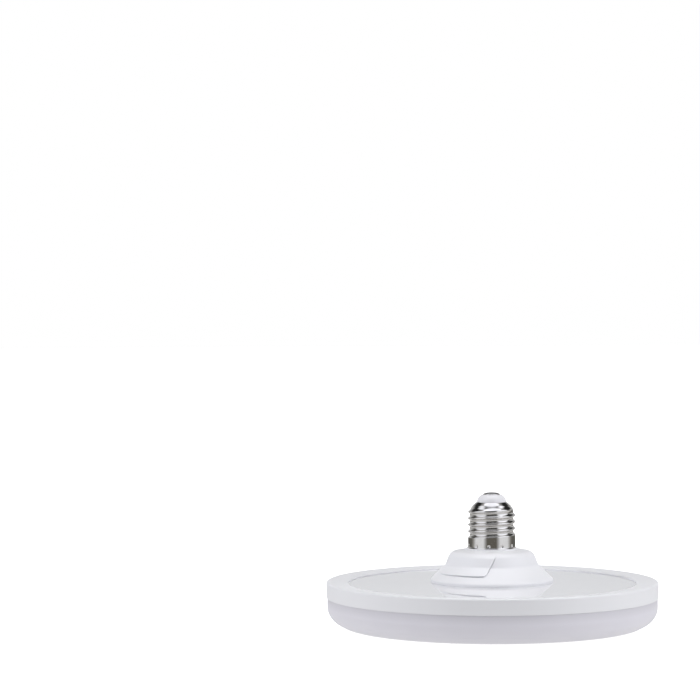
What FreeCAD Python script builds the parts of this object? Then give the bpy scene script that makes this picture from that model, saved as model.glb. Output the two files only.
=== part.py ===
import FreeCAD, Part
import os
from math import cos, radians, sin, sqrt, tan

# A flat, round LED lamp with a screw cap. In use it hangs from a lampholder with its face down.
# Millimetres. The origin is on the lamp's axis at the diffuser's outer face, and +Z runs from the face to the cap.
# Azimuths are counted from the front, -Y, towards +X.

# Fits
slip_gap = 0.2           # between parts that slide into each other
snug_gap = 0.05          # between parts pressed or screwed into each other
work_gap = 0.8           # between the driver's components and what stands next to them

# Disc: rim ring, back plate and diffuser
rim_diameter = 184.4
rim_height = 9.0
rim_band = 12.2          # width of the rim's top, from the outside to the plate's opening
rim_fall = 1.0           # how far the rim's top drops towards the opening
rim_edge_radius = 1.4
rim_wall = 1.8
rim_top_wall = 2.0
lip_thickness = 0.6
lip_width = 2.6
rib_wall = 1.6
plate_thickness = 1.2
plate_rise = 1.05         # how much thicker the plate is under the neck than at the rim
seat_margin = 1.5        # flat seat around the neck's flange
hook_count = 6
hook_reach = 1.0
hook_height = 1.6
hook_spread = 8.0        # degrees
diffuser_straight = 5.4
diffuser_setback = 0.5
corner_run = 14.0
corner_rise = 11.0
diffuser_wall = 1.6
spigot_height = 4.6
spigot_wall = 1.6
spigot_root = 2.4        # thick band below the seam that carries the spigot
spigot_taper = 1.5
snap_count = 6
snap_depth = 0.7
snap_height = 1.4
snap_level = 1.9         # from the seam to the snap bump's lower end
snap_spread = 10.0       # degrees

# Light engine
pad_thickness = 0.3
pad_margin = 1.0
led_board_thickness = 1.2
led_board_margin = 2.0
led_board_hole_diameter = 22.0
led_length = 3.5
led_width = 2.8
led_height = 0.7
led_window_depth = 0.15
led_window_border = 0.4
outer_leds = 30
outer_led_inset = 12.0   # from the board's edge to the outer ring of packages
inner_leds = 18
led_ring_pitch = 20.0

# Neck
flange_diameter = 68.2
flange_edge = 1.4
flange_edge_radius = 0.9
flange_foot_radius = 0.8
waist_diameter = 51.6
waist_height = 9.65
waist_radius = 8.0
shoulder_diameter = 46.2
shoulder_fall = 1.25      # how far the neck's top drops from the crown to the shoulder
shoulder_radius = 4.5
crown_diameter = 30.4    # flat middle of the neck's top
neck_height = 17.95
neck_wall = 2.0
neck_roof = 2.2
flange_seat = 2.4
collar_height = 0.7
collar_width = 1.3
petal_count = 2
petal_lip_height = 5.35
petal_lift = 0.9
petal_fade = 0.1         # what is left of the lift where the petal runs into the neck
petal_sweep = 100.0      # degrees
petal_lean = 28.0        # degrees, the slant of the petal's free edge
petal_edge_offset = 3.2
petal_corner_radius = 3.0
petal_root = 1.2
petal_slot_height = 0.6
petal_slot_depth = 0.8
boss_count = 3
boss_circle_diameter = 50.0
boss_diameter = 6.8
boss_height = 8.0
pilot_depth = 6.6
press_rib_width = 1.8
press_rib_bite = 3.5     # how far the ribs reach in over the driver board

# Screws that clamp the light engine and the plate to the neck
screw_diameter = 3.0
screw_hole_gap = 0.25
screw_head_diameter = 5.6
screw_head_height = 2.0
screw_grip = 5.8         # length of the shank inside the neck's boss
screw_slot_width = 0.8
screw_slot_depth = 0.9

# Screw cap, an E27 one
cap_diameter = 26.3
cap_root_diameter = 24.1
shell_height = 25.6
shell_wall = 0.5
shell_dome_radius = 5.5
shell_dome_wall = 0.9
dome_inner_radius = 2.8
shell_mouth_diameter = 16.4
foot_flare = 0.4
foot_height = 0.6
skirt_height = 4.8
cap_spigot_height = 11.4
cap_spigot_bore = 19.8
nose_height = 4.2
nose_straight = 0.7
nose_top_diameter = 11.0
nose_edge_radius = 0.8
insulator_depth = 6.4
contact_diameter = 9.4
contact_thickness = 0.7
contact_edge_radius = 0.35
contact_crown = 0.35
contact_crown_diameter = 2.8
pin_diameter = 3.0
pin_tail = 1.2           # how far the pin stands out of the insulator's inner face

# Driver
tray_floor = 1.0
tray_wall = 1.2
tray_wall_height = 2.2
standoff_height = 3.0
standoff_diameter = 3.2
duct_diameter = 10.0
duct_wall = 1.2
driver_board_thickness = 1.6
choke_diameter = 12.6
choke_core_diameter = 6.0
choke_flange = 1.6
can_diameter = 8.0
can_bead_depth = 0.4
chip_height = 1.6
bridge_height = 2.5
resistor_diameter = 3.4
resistor_length = 8.0
resistor_lead = 0.7
wire_diameter = 1.5
wire_bend = 2.4
live_wire_reach = 3.0    # from the axis to the live wire's solder point
neutral_wire_reach = 5.5 # from the axis to the neutral wire's solder point
lead_spread = 2.0        # from the axis to each lead in the duct
lead_reach = 14.5        # from the axis to each solder point on the light-emitting board
lead_hang = 2.6

# Levels and radii that follow from the sizes above
seam_z = corner_rise + diffuser_straight
rim_r = rim_diameter / 2
rim_top_z = seam_z + rim_height
opening_r = rim_r - rim_band
opening_z = rim_top_z - rim_fall
plate_top_z = opening_z - lip_thickness
plate_low_z = plate_top_z - plate_thickness
seat_z = plate_top_z + plate_rise
seat_r = flange_diameter / 2 + seat_margin
pocket_r = opening_r + lip_width
plate_r = pocket_r - slip_gap
rim_bore_r = rim_r - rim_wall
diffuser_r = rim_r - diffuser_setback
spigot_r = rim_bore_r - slip_gap
pad_low_z = plate_low_z - pad_thickness
led_board_low_z = pad_low_z - led_board_thickness
led_board_r = opening_r - led_board_margin
led_board_hole_r = led_board_hole_diameter / 2
neck_top_z = seat_z + neck_height
shoulder_z = neck_top_z - shoulder_fall
roof_low_z = neck_top_z - neck_roof
cap_foot_z = neck_top_z + collar_height
cap_r = cap_diameter / 2
shell_top_z = cap_foot_z + shell_height
skirt_bore_r = cap_r - shell_wall
thread_bore_r = cap_root_diameter / 2 - shell_wall
bore_r = cap_spigot_bore / 2
fill_top_z = shell_top_z - shell_dome_wall - snug_gap
pin_tail_z = fill_top_z - insulator_depth - pin_tail
nose_top_z = shell_top_z + nose_height
boss_circle_r = boss_circle_diameter / 2
tray_r = boss_circle_r - boss_diameter / 2 - slip_gap - snug_gap
board_r = tray_r - tray_wall - slip_gap
board_low_z = seat_z + tray_floor + standoff_height
board_top_z = board_low_z + driver_board_thickness
rib_tip_r = board_r - press_rib_bite
duct_r = duct_diameter / 2
wire_r = wire_diameter / 2

origin = FreeCAD.Vector(0, 0, 0)
axis = FreeCAD.Vector(0, 0, 1)


def at(radius, height):
    return FreeCAD.Vector(radius, 0, height)


def rounded_edges(points, radii, closed):
    # straight runs between the points, with a tangent arc of the given radius at each corner
    count = len(points)
    starts = []
    ends = []
    arcs = []
    for k in range(count):
        corner = points[k]
        inner = closed or 0 < k < count - 1
        if not inner or not radii[k]:
            starts.append(corner)
            ends.append(corner)
            arcs.append(None)
            continue
        back = (points[k - 1] - corner).normalize()
        on = (points[(k + 1) % count] - corner).normalize()
        half = back.getAngle(on) / 2
        reach = radii[k] / tan(half)
        middle = (back + on).normalize() * (radii[k] / sin(half) - radii[k])
        starts.append(corner + back * reach)
        ends.append(corner + on * reach)
        arcs.append(Part.Arc(starts[k], corner + middle, ends[k]).toShape())
    edges = []
    for k in range(count):
        if arcs[k]:
            edges.append(arcs[k])
        following = (k + 1) % count
        last = not closed and k == count - 1
        if not last and (starts[following] - ends[k]).Length > 1e-6:
            edges.append(Part.makeLine(ends[k], starts[following]))
    return edges


def section(corners):
    # a face in the XZ plane from (radius, height) or (radius, height, rounding) corners
    points = [at(c[0], c[1]) for c in corners]
    radii = [c[2] if len(c) > 2 else 0 for c in corners]
    return Part.Face(Part.Wire(rounded_edges(points, radii, True)))


def turned(corners, angle=360):
    return section(corners).revolve(origin, axis, angle)


def placed(shape, azimuth):
    # a shape made at +X, carried round to an azimuth
    copy = shape.copy()
    copy.rotate(origin, axis, azimuth - 90)
    return copy


def around(shape, count, first=0.0):
    return [placed(shape, first + k * 360.0 / count) for k in range(count)]


def wedge(corners, spread):
    # a ring sector that is centred on +X
    sector = turned(corners, spread)
    sector.rotate(origin, axis, -spread / 2)
    return sector


def rod(radius, low, high, reach=0.0):
    return Part.makeCylinder(radius, high - low, FreeCAD.Vector(reach, 0, low), axis)


def spot(reach, azimuth, height):
    return FreeCAD.Vector(reach * sin(radians(azimuth)), -reach * cos(radians(azimuth)), height)


def wire(points):
    # an insulated wire along straight runs with round bends
    path = Part.Wire(rounded_edges(points, [wire_bend] * len(points), False))
    start = Part.Wire(Part.makeCircle(wire_r, points[0], points[1] - points[0]))
    return path.makePipeShell([start], True, False)


def single(shape):
    shape = shape.removeSplitter()
    return shape.Solids[0] if len(shape.Solids) == 1 else shape


def rim_ring():
    under_z = opening_z - rim_top_wall
    rib_low_z = plate_low_z - hook_height
    ring = turned([
        (rim_bore_r, seam_z),
        (rim_r, seam_z),
        (rim_r, rim_top_z, rim_edge_radius),
        (opening_r, opening_z),
        (opening_r, plate_top_z),
        (pocket_r, plate_top_z),
        (pocket_r, rib_low_z),
        (pocket_r + rib_wall, rib_low_z),
        (pocket_r + rib_wall, under_z),
        (rim_bore_r, under_z),
    ])
    hook = wedge([
        (pocket_r + rib_wall / 2, rib_low_z),
        (pocket_r + rib_wall / 2, plate_low_z),
        (pocket_r - hook_reach, plate_low_z),
        (pocket_r - hook_reach, plate_low_z - hook_height / 3),
        (pocket_r, rib_low_z),
    ], hook_spread)
    groove_low = seam_z + snap_level - slip_gap
    groove_high = groove_low + snap_height + 2 * slip_gap
    groove_r = spigot_r + snap_depth + slip_gap
    groove = turned([
        (rim_bore_r - 1, groove_low),
        (groove_r, groove_low),
        (groove_r, groove_high),
        (rim_bore_r - 1, groove_high),
    ])
    return single(ring.fuse(around(hook, hook_count)).cut(groove))


def back_plate():
    # flat below, and a shallow cone above that rises from the rim's lip to the neck's seat
    plate = turned([
        (duct_r + slip_gap, plate_low_z),
        (plate_r, plate_low_z),
        (plate_r, plate_top_z),
        (opening_r, plate_top_z),
        (seat_r, seat_z),
        (duct_r + slip_gap, seat_z),
    ])
    return single(plate.cut(screw_holes(plate_low_z, seat_z)))


def screw_holes(low, high):
    hole = rod(screw_diameter / 2 + screw_hole_gap, low - 1, high + 1, boss_circle_r)
    return around(hole, boss_count)


def diffuser():
    # a cup with an elliptical corner, so its run and its rise can differ
    bend = 4 * (sqrt(2) - 1) / 3
    inner_r = diffuser_r - diffuser_wall
    flat_r = diffuser_r - corner_run
    spigot_in_r = spigot_r - spigot_wall
    spigot_top_z = seam_z + spigot_height
    inner_run = corner_run - diffuser_wall
    inner_rise = corner_rise - diffuser_wall
    outside = Part.BezierCurve()
    outside.setPoles([at(flat_r, 0), at(flat_r + corner_run * bend, 0),
                      at(diffuser_r, corner_rise * (1 - bend)), at(diffuser_r, corner_rise)])
    inside = Part.BezierCurve()
    inside.setPoles([at(inner_r, corner_rise), at(inner_r, corner_rise - inner_rise * bend),
                     at(flat_r + inner_run * bend, diffuser_wall), at(flat_r, diffuser_wall)])
    wall = Part.makePolygon([
        at(diffuser_r, corner_rise),
        at(diffuser_r, seam_z),
        at(spigot_r, seam_z),
        at(spigot_r, spigot_top_z),
        at(spigot_in_r, spigot_top_z),
        at(spigot_in_r, seam_z - spigot_root),
        at(inner_r, seam_z - spigot_root - spigot_taper),
        at(inner_r, corner_rise),
    ])
    floor = Part.makePolygon([at(flat_r, diffuser_wall), at(0, diffuser_wall), at(0, 0), at(flat_r, 0)])
    outline = Part.Wire([outside.toShape()] + wall.Edges + [inside.toShape()] + floor.Edges)
    cup = Part.Face(outline).revolve(origin, axis, 360)
    bump_low = seam_z + snap_level
    bump = wedge([
        (spigot_r - spigot_wall / 2, bump_low),
        (spigot_r + snap_depth, bump_low),
        (spigot_r + snap_depth, bump_low + snap_height / 3),
        (spigot_r, bump_low + snap_height),
        (spigot_r - spigot_wall / 2, bump_low + snap_height),
    ], snap_spread)
    return single(cup.fuse(around(bump, snap_count, 30)))


def thermal_pad():
    pad = turned([(led_board_hole_r, pad_low_z), (led_board_r - pad_margin, pad_low_z),
                  (led_board_r - pad_margin, plate_low_z), (led_board_hole_r, plate_low_z)])
    return single(pad.cut(screw_holes(pad_low_z, plate_low_z)))


def led_board():
    board = turned([(led_board_hole_r, led_board_low_z), (led_board_r, led_board_low_z),
                    (led_board_r, pad_low_z), (led_board_hole_r, pad_low_z)])
    return single(board.cut(screw_holes(led_board_low_z, pad_low_z)))


def led_packages():
    body = Part.makeBox(led_width, led_length, led_height)
    window = Part.makeBox(led_width - 2 * led_window_border, led_length - 2 * led_window_border, led_window_depth)
    window.translate(FreeCAD.Vector(led_window_border, led_window_border, 0))
    package = body.cut(window)
    package.translate(FreeCAD.Vector(-led_width / 2, -led_length / 2, led_board_low_z - led_height))
    packages = []
    outer_ring_r = led_board_r - outer_led_inset
    for count, reach in [(outer_leds, outer_ring_r), (inner_leds, outer_ring_r - led_ring_pitch)]:
        one = package.copy()
        one.translate(FreeCAD.Vector(reach, 0, 0))
        packages += around(one, count)
    return Part.makeCompound(packages)


def neck_outline(lift=0.0):
    # the outside of the neck from the flange's foot to its shoulder; a petal's lift is full at its lip, less above
    flange_r = flange_diameter / 2
    return [
        (flange_r, seat_z, flange_foot_radius),
        (flange_r, seat_z + flange_edge, flange_edge_radius),
        (waist_diameter / 2 + lift * 0.7, seat_z + waist_height, waist_radius),
        (shoulder_diameter / 2 + lift * 0.3, shoulder_z, shoulder_radius),
    ]


def flare_r(height):
    # radius of the neck's flare at a height above its foot
    share = (height - flange_edge) / (waist_height - flange_edge)
    return (flange_diameter + (waist_diameter - flange_diameter) * share) / 2


def petal():
    # a leaf moulded on the neck: it grows out of the surface and ends in a free, slanted edge and a lip
    lip_z = seat_z + petal_lip_height
    steps = 8
    wires = []
    overrun = 10.0
    for k in range(steps + 1):
        azimuth = -petal_sweep + (petal_sweep + overrun) * k / steps
        lift = petal_fade + (petal_lift - petal_fade) * (azimuth + petal_sweep) / petal_sweep
        waist, shoulder = neck_outline(lift)[2:]
        lip_r = flare_r(petal_lip_height - 1)
        profile = section([
            (lip_r - petal_root, lip_z - 1),
            (lip_r + lift, lip_z - 1),
            waist,
            shoulder,
            (crown_diameter / 2, neck_top_z - petal_root),
            (waist_diameter / 2 - petal_root, seat_z + waist_height),
        ])
        wires.append(placed(profile, azimuth).OuterWire)
    leaf = Part.makeLoft(wires, True, False)
    top_z = neck_top_z + 1
    low_x = -petal_edge_offset
    high_x = low_x + (top_z - lip_z) * tan(radians(petal_lean))
    far = flange_diameter
    mask = section([(low_x, lip_z, petal_corner_radius), (high_x, top_z), (-far, top_z), (-far, lip_z)])
    mask.translate(FreeCAD.Vector(0, -far, 0))
    return leaf.common(mask.extrude(FreeCAD.Vector(0, 2 * far, 0)))


def petal_slot():
    # the shadow gap under a petal's lip
    lip_z = seat_z + petal_lip_height
    lip_r = flare_r(petal_lip_height)
    spread = petal_sweep - 36
    slot = wedge([
        (lip_r - petal_slot_depth, lip_z - petal_slot_height),
        (lip_r + 4, lip_z - petal_slot_height),
        (lip_r + 4, lip_z),
        (lip_r - petal_slot_depth, lip_z),
    ], spread)
    return placed(slot, -10 - spread / 2)


def neck_housing():
    outside = turned(neck_outline() + [(crown_diameter / 2, neck_top_z), (0, neck_top_z), (0, seat_z)])
    hollow = turned([
        (0, seat_z),
        (flange_diameter / 2 - flange_seat, seat_z),
        (waist_diameter / 2 - neck_wall, seat_z + waist_height - neck_wall / 2),
        (shoulder_diameter / 2 - neck_wall, roof_low_z, shoulder_radius - neck_wall),
        (0, roof_low_z),
    ])
    boss = rod(boss_diameter / 2, seat_z, seat_z + boss_height, boss_circle_r).common(outside)
    rib = Part.makeBox(flange_diameter, press_rib_width, roof_low_z + neck_roof / 2 - board_top_z,
                       FreeCAD.Vector(rib_tip_r, -press_rib_width / 2, board_top_z)).common(outside)
    spigot = turned([
        (0, roof_low_z),
        (cap_r + collar_width, roof_low_z),
        (cap_r + collar_width, cap_foot_z, collar_height / 2),
        (skirt_bore_r - snug_gap, cap_foot_z),
        (skirt_bore_r - snug_gap, cap_foot_z + skirt_height),
        (thread_bore_r - snug_gap, cap_foot_z + skirt_height),
        (thread_bore_r - snug_gap, cap_foot_z + cap_spigot_height),
        (0, cap_foot_z + cap_spigot_height),
    ])
    leaves = [placed(petal(), 90 + k * 360.0 / petal_count) for k in range(petal_count)]
    slots = [placed(petal_slot(), 90 + k * 360.0 / petal_count) for k in range(petal_count)]
    shell = outside.cut(slots).fuse(leaves).cut(hollow)
    body = shell.fuse(around(boss, boss_count) + around(rib, boss_count, 60) + [spigot])
    pilot = rod(screw_diameter / 2 + snug_gap, seat_z - 1, seat_z + pilot_depth, boss_circle_r)
    bore = rod(bore_r, roof_low_z - 1, cap_foot_z + cap_spigot_height + 1)
    return single(body.cut(around(pilot, boss_count) + [bore]))


def neck_screws():
    head_low_z = led_board_low_z - screw_head_height
    screw = turned([
        (0, head_low_z),
        (screw_head_diameter / 2, head_low_z, screw_head_height * 0.4),
        (screw_head_diameter / 2, led_board_low_z),
        (screw_diameter / 2, led_board_low_z),
        (screw_diameter / 2, seat_z + screw_grip, 0.6),
        (0, seat_z + screw_grip),
    ])
    length = screw_head_diameter * 0.7
    for across, along in [(length, screw_slot_width), (screw_slot_width, length)]:
        slot = Part.makeBox(across, along, screw_slot_depth, FreeCAD.Vector(-across / 2, -along / 2, head_low_z))
        screw = screw.cut(slot)
    screw.translate(FreeCAD.Vector(boss_circle_r, 0, 0))
    return Part.makeCompound(around(screw, boss_count))


def screw_shell():
    # a drawn cap with a flared foot, a skirt, a rolled thread and a domed top with an open mouth; the thread is drawn
    # as its envelope, with its crests outside and its roots inside
    return turned([
        (skirt_bore_r, cap_foot_z),
        (cap_r + foot_flare, cap_foot_z),
        (cap_r + foot_flare, cap_foot_z + foot_height / 3),
        (cap_r, cap_foot_z + foot_height),
        (cap_r, shell_top_z, shell_dome_radius),
        (shell_mouth_diameter / 2, shell_top_z),
        (shell_mouth_diameter / 2, shell_top_z - shell_dome_wall),
        (thread_bore_r, shell_top_z - shell_dome_wall, dome_inner_radius),
        (thread_bore_r, cap_foot_z + skirt_height),
        (skirt_bore_r, cap_foot_z + skirt_height),
    ])


def cap_insulator():
    # it fills the shell's dome from inside and comes out of the mouth as a blunt cone
    fill_r = thread_bore_r - snug_gap
    nose_r = shell_mouth_diameter / 2 - snug_gap
    hole_r = pin_diameter / 2 + snug_gap
    return turned([
        (hole_r, fill_top_z - insulator_depth),
        (fill_r, fill_top_z - insulator_depth),
        (fill_r, fill_top_z, dome_inner_radius),
        (nose_r, fill_top_z),
        (nose_r, shell_top_z + nose_straight),
        (nose_top_diameter / 2, nose_top_z, nose_edge_radius),
        (hole_r, nose_top_z),
    ])


def centre_contact():
    return turned([
        (0, pin_tail_z),
        (pin_diameter / 2, pin_tail_z),
        (pin_diameter / 2, nose_top_z),
        (contact_diameter / 2, nose_top_z),
        (contact_diameter / 2, nose_top_z + contact_thickness, contact_edge_radius),
        (contact_crown_diameter / 2, nose_top_z + contact_thickness),
        (contact_crown_diameter / 2 - contact_crown, nose_top_z + contact_thickness + contact_crown),
        (0, nose_top_z + contact_thickness + contact_crown),
    ])


def driver_tray():
    # insulating cup between the driver and the metal plate, with a duct that leads the wires through the plate
    cup = turned([
        (duct_r - duct_wall, led_board_low_z),
        (duct_r, led_board_low_z),
        (duct_r, seat_z),
        (tray_r, seat_z),
        (tray_r, seat_z + tray_floor + tray_wall_height),
        (tray_r - tray_wall, seat_z + tray_floor + tray_wall_height),
        (tray_r - tray_wall, seat_z + tray_floor),
        (duct_r - duct_wall, seat_z + tray_floor),
    ])
    reach = board_r - standoff_diameter
    post = rod(standoff_diameter / 2, seat_z + tray_floor / 2, board_low_z, reach)
    return single(cup.fuse(around(post, boss_count, 60)))


def driver_board():
    return rod(board_r, board_low_z, board_top_z)


def component_reach(radius):
    # how far out on the driver board a part of this radius can stand clear of the press ribs
    return rib_tip_r - work_gap - radius


def choke_core():
    top_z = roof_low_z - work_gap
    core = turned([
        (0, board_top_z),
        (choke_diameter / 2, board_top_z),
        (choke_diameter / 2, board_top_z + choke_flange),
        (choke_core_diameter / 2, board_top_z + choke_flange),
        (choke_core_diameter / 2, top_z - choke_flange),
        (choke_diameter / 2, top_z - choke_flange),
        (choke_diameter / 2, top_z),
        (0, top_z),
    ])
    core.translate(spot(component_reach(choke_diameter / 2), 240, 0))
    return core


def choke_winding():
    inner_r = choke_core_diameter / 2 + snug_gap
    outer_r = choke_diameter / 2 - 2 * snug_gap
    low_z = board_top_z + choke_flange + snug_gap
    high_z = roof_low_z - work_gap - choke_flange - snug_gap
    coil = turned([(inner_r, low_z), (outer_r, low_z, 0.6), (outer_r, high_z, 0.6), (inner_r, high_z)])
    coil.translate(spot(component_reach(choke_diameter / 2), 240, 0))
    return coil


def capacitor(azimuth, top_z):
    can_r = can_diameter / 2
    bead_z = board_top_z + 1.2
    can = turned([
        (0, board_top_z),
        (can_r, board_top_z),
        (can_r, bead_z),
        (can_r - can_bead_depth, bead_z + can_bead_depth),
        (can_r, bead_z + 2 * can_bead_depth),
        (can_r, top_z, 0.5),
        (0, top_z),
    ])
    can.translate(spot(component_reach(can_r), azimuth, 0))
    return can


def chip(length, width, height, reach, azimuth):
    # a moulded package with feet on two sides that rest on the board
    body = Part.makeBox(width, length, height - 0.2, FreeCAD.Vector(-width / 2, -length / 2, board_top_z + 0.2))
    feet = []
    for side in (-1, 1):
        for step in (-1, 1):
            foot = Part.makeBox(1.2, 0.6, 0.5, FreeCAD.Vector(-0.6, -0.3, board_top_z))
            foot.translate(FreeCAD.Vector(side * (width / 2 + 0.2), step * length / 4, 0))
            feet.append(foot)
    whole = body.fuse(feet)
    whole.translate(FreeCAD.Vector(reach, 0, 0))
    return single(placed(whole, azimuth))


def fuse_resistor():
    # an axial part lying across the board, on two bent leads
    centre_z = board_top_z + resistor_diameter / 2 + 0.3
    reach = component_reach(resistor_diameter / 2) - 1
    along = FreeCAD.Vector(0, 1, 0)
    body = Part.makeCylinder(resistor_diameter / 2, resistor_length,
                             FreeCAD.Vector(reach, -resistor_length / 2, centre_z), along)
    ends = []
    for side in (-1, 1):
        lead_y = side * (resistor_length / 2 + 1)
        stub = Part.makeCylinder(resistor_lead / 2, 1.2, FreeCAD.Vector(reach, lead_y, centre_z), along * -side)
        leg = rod(resistor_lead / 2, board_top_z, centre_z, reach)
        leg.translate(FreeCAD.Vector(0, lead_y, 0))
        ends += [stub, leg, Part.makeSphere(resistor_lead / 2, FreeCAD.Vector(reach, lead_y, centre_z))]
    return single(placed(body.fuse(ends), 165))


def live_wire():
    foot = spot(live_wire_reach, 20, board_top_z)
    return wire([
        FreeCAD.Vector(0, 0, pin_tail_z),
        FreeCAD.Vector(0, 0, pin_tail_z - 6),
        FreeCAD.Vector(foot.x, foot.y, pin_tail_z - 13),
        foot,
    ])


def neutral_wire():
    # it leans out under the roof, so that it can run up the spigot's bore and over its end to the shell
    reach = bore_r - wire_r - slip_gap
    top_z = cap_foot_z + cap_spigot_height + wire_bend
    return wire([
        spot(neutral_wire_reach, 60, board_top_z),
        spot(neutral_wire_reach, 60, roof_low_z - wire_bend),
        spot(reach, 60, roof_low_z + wire_bend),
        spot(reach, 60, top_z),
        spot(sqrt(thread_bore_r ** 2 - wire_r ** 2), 60, top_z),
    ])


def led_lead(side):
    low_z = led_board_low_z - lead_hang
    return wire([
        FreeCAD.Vector(side * lead_spread, 0, board_low_z),
        FreeCAD.Vector(side * lead_spread, 0, low_z),
        FreeCAD.Vector(side * lead_reach, 0, low_z),
        FreeCAD.Vector(side * lead_reach, 0, led_board_low_z),
    ])


parts = {
    "diffuser": diffuser(),
    "rim_ring": rim_ring(),
    "back_plate": back_plate(),
    "thermal_pad": thermal_pad(),
    "led_board": led_board(),
    "led_packages": led_packages(),
    "neck_housing": neck_housing(),
    "neck_screws": neck_screws(),
    "screw_shell": screw_shell(),
    "cap_insulator": cap_insulator(),
    "centre_contact": centre_contact(),
    "driver_tray": driver_tray(),
    "driver_board": driver_board(),
    "choke_core": choke_core(),
    "choke_winding": choke_winding(),
    "input_capacitor": capacitor(110, roof_low_z - work_gap),
    "output_capacitor": capacitor(15, roof_low_z - work_gap - 2.5),
    "bridge_rectifier": chip(4.7, 3.8, bridge_height, component_reach(2.0) - 1, 60),
    "driver_chip": chip(4.9, 3.9, chip_height, component_reach(2.0) - 2, 330),
    "output_diode": chip(4.3, 2.6, bridge_height - 0.3, component_reach(2.0) - 0.8, 296),
    "fuse_resistor": fuse_resistor(),
    "live_wire": live_wire(),
    "neutral_wire": neutral_wire(),
    "led_lead_positive": led_lead(1),
    "led_lead_negative": led_lead(-1),
}

os.makedirs("parts", exist_ok=True)
for name, shape in parts.items():
    shape.exportStep("parts/" + name + ".step")
    print(name, "solids", len(shape.Solids), "valid", shape.isValid(), "volume", round(shape.Volume, 2))
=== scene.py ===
import bmesh
import bpy
from math import atan2, cos, floor, pi, radians, sin, sqrt, tan
from mathutils import Matrix, Vector


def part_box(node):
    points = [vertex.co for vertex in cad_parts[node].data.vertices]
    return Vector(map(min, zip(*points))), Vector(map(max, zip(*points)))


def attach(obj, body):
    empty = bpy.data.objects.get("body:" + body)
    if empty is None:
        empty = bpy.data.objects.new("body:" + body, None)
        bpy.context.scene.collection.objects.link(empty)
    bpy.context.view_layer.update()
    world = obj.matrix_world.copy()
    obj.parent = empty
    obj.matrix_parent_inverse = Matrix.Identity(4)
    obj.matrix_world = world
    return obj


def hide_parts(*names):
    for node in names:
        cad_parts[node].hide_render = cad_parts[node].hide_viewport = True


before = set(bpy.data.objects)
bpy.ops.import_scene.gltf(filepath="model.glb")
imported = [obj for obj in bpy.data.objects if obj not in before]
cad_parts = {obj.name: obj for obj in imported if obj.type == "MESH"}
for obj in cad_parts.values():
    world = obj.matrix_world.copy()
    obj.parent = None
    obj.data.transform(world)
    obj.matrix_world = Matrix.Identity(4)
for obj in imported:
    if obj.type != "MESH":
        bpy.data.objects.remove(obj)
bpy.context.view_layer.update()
mm = 0.001
mergeGap = 1e-7     # metres, corners closer than this are one
print("frame loaded,", len(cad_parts), "nodes")


# small helpers for meshes

def profileLoop(bm, corners, closed=True):
    # (radius, height) corners in millimetres, joined by edges
    verts = [bm.verts.new((r * mm, 0, z * mm)) for r, z in corners]
    ends = verts[1:] + verts[:1] if closed else verts[1:]
    return verts + [bm.edges.new(pair) for pair in zip(verts, ends)]


def turnProfile(corners, steps, closed=True):
    # spins a profile right round the lamp's axis
    bm = bmesh.new()
    bmesh.ops.spin(bm, geom=profileLoop(bm, corners, closed), cent=(0, 0, 0), axis=(0, 0, 1), angle=2 * pi,
                   steps=steps, use_merge=True)
    bmesh.ops.remove_doubles(bm, verts=bm.verts, dist=mergeGap)
    bmesh.ops.recalc_face_normals(bm, faces=bm.faces)
    return bm


def turnAbout(bm, angle):
    # turns a whole shape about the lamp's axis
    bmesh.ops.rotate(bm, cent=(0, 0, 0), matrix=Matrix.Rotation(angle, 3, "Z"), verts=bm.verts)


def sectorBlock(corners, spread, azimuth, steps=6):
    # a closed block: a profile swept over some degrees, centred on an azimuth from the front
    bm = bmesh.new()
    bmesh.ops.spin(bm, geom=profileLoop(bm, corners), cent=(0, 0, 0), axis=(0, 0, 1), angle=radians(spread),
                   steps=steps)
    bmesh.ops.holes_fill(bm, edges=[e for e in bm.edges if e.is_boundary], sides=len(corners))
    bmesh.ops.recalc_face_normals(bm, faces=bm.faces)
    turnAbout(bm, radians(azimuth - 90 - spread / 2))
    return bm


def roundRing(bm, radius, height, offset, segments, near=0.02):
    # rounds the edge that runs round the axis at a radius and a height
    def onRing(v):
        return abs(v.co.xy.length / mm - radius) < near and abs(v.co.z / mm - height) < near

    ring = [e for e in bm.edges if all(onRing(v) for v in e.verts)]
    bmesh.ops.bevel(bm, geom=ring, offset=offset * mm, segments=segments, profile=0.5, affect="EDGES", material=-1,
                    clamp_overlap=True)


def slicePlane(bm, point, away, geom=None, clear=False):
    # cuts the mesh along a plane, and can clear what lies beyond it
    whole = bm.verts[:] + bm.edges[:] + bm.faces[:]
    bmesh.ops.bisect_plane(bm, geom=whole if geom is None else geom, dist=mergeGap, plane_co=point, plane_no=away,
                           clear_outer=clear)


def setRadius(v, radius):
    # moves a corner straight in or out, to a radius in metres
    share = radius / v.co.xy.length
    v.co.x *= share
    v.co.y *= share


def joinInto(bm, other):
    # adds another shell to a piece's mesh
    carrier = bpy.data.meshes.new("carrier")
    other.to_mesh(carrier)
    other.free()
    bm.from_mesh(carrier)
    bpy.data.meshes.remove(carrier)


def finishPiece(name, bm, material, node, sharp=32):
    # edges that turn by more than sharp degrees stay crisp
    mesh = bpy.data.meshes.new(name)
    bm.to_mesh(mesh)
    bm.free()
    mesh.shade_smooth()
    mesh.set_sharp_from_angle(angle=radians(sharp))
    mesh.materials.append(material)
    piece = bpy.data.objects.new(name, mesh)
    bpy.context.collection.objects.link(piece)
    evenNormals = piece.modifiers.new("evenNormals", "WEIGHTED_NORMAL")
    evenNormals.keep_sharp = True
    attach(piece, "root")
    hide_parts(node)
    print(name, "faces", len(mesh.polygons))


def smoothStep(low, high, value):
    t = min(max((value - low) / (high - low), 0.0), 1.0)
    return t * t * (3 - 2 * t)


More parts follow.
